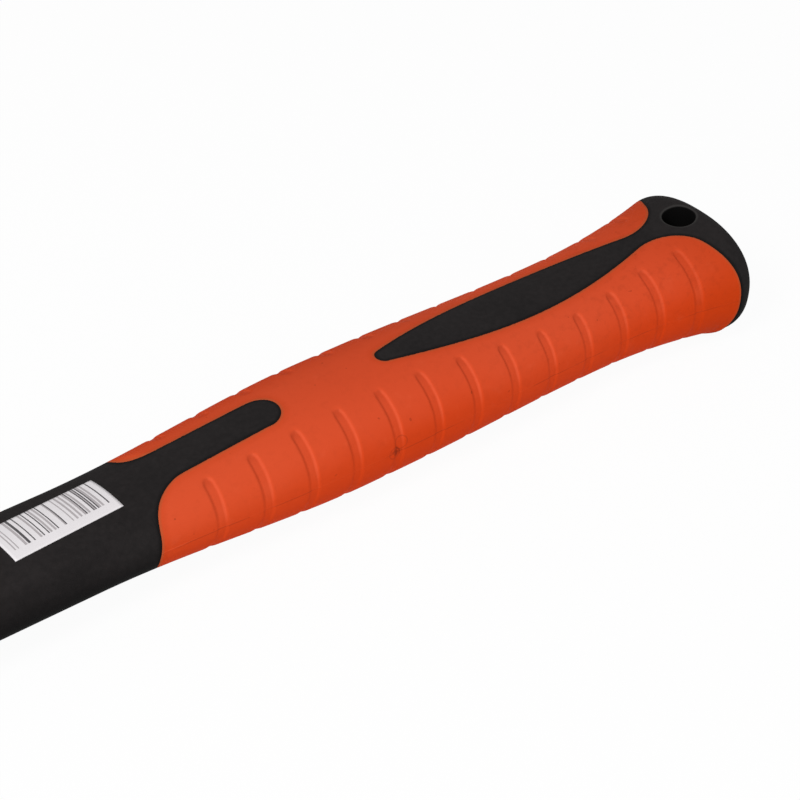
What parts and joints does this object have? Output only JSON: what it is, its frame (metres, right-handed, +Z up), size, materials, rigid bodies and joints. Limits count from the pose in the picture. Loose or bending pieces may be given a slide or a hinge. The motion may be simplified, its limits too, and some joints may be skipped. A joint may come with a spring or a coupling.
{
  "type": "machinist hammer",
  "caption": "Cross-peen machinist hammer: forged steel head bonded on a glass-fibre core with a hard black jacket, a grooved soft orange grip and a hanging hole in the flared butt.",
  "frame": {"origin": "centre of the bounding box on the bench that the hammer lies on", "axes": "+X along the handle from the head to the butt, +Y along the head from the striking face to the peen, +Z up out of the bench"},
  "size_m": [0.35, 0.13, 0.033],
  "materials": {
    "forged_steel": "dark lacquered forging, face and peen ground bright",
    "glass_fibre": "pultruded rod, sawn end",
    "cast_resin": "cast in place, slightly sunken",
    "hard_black": "finely eroded mould texture, matte",
    "soft_orange": "soft satin overmoulding",
    "label_paper": "coated paper sticker"
  },
  "bodies": {
    "root": {"head": "forged_steel", "core_rod": "glass_fibre", "eye_resin": "cast_resin", "handle_jacket": "hard_black", "soft_grip": "soft_orange", "label": "label_paper"}
  },
  "joints": []
}
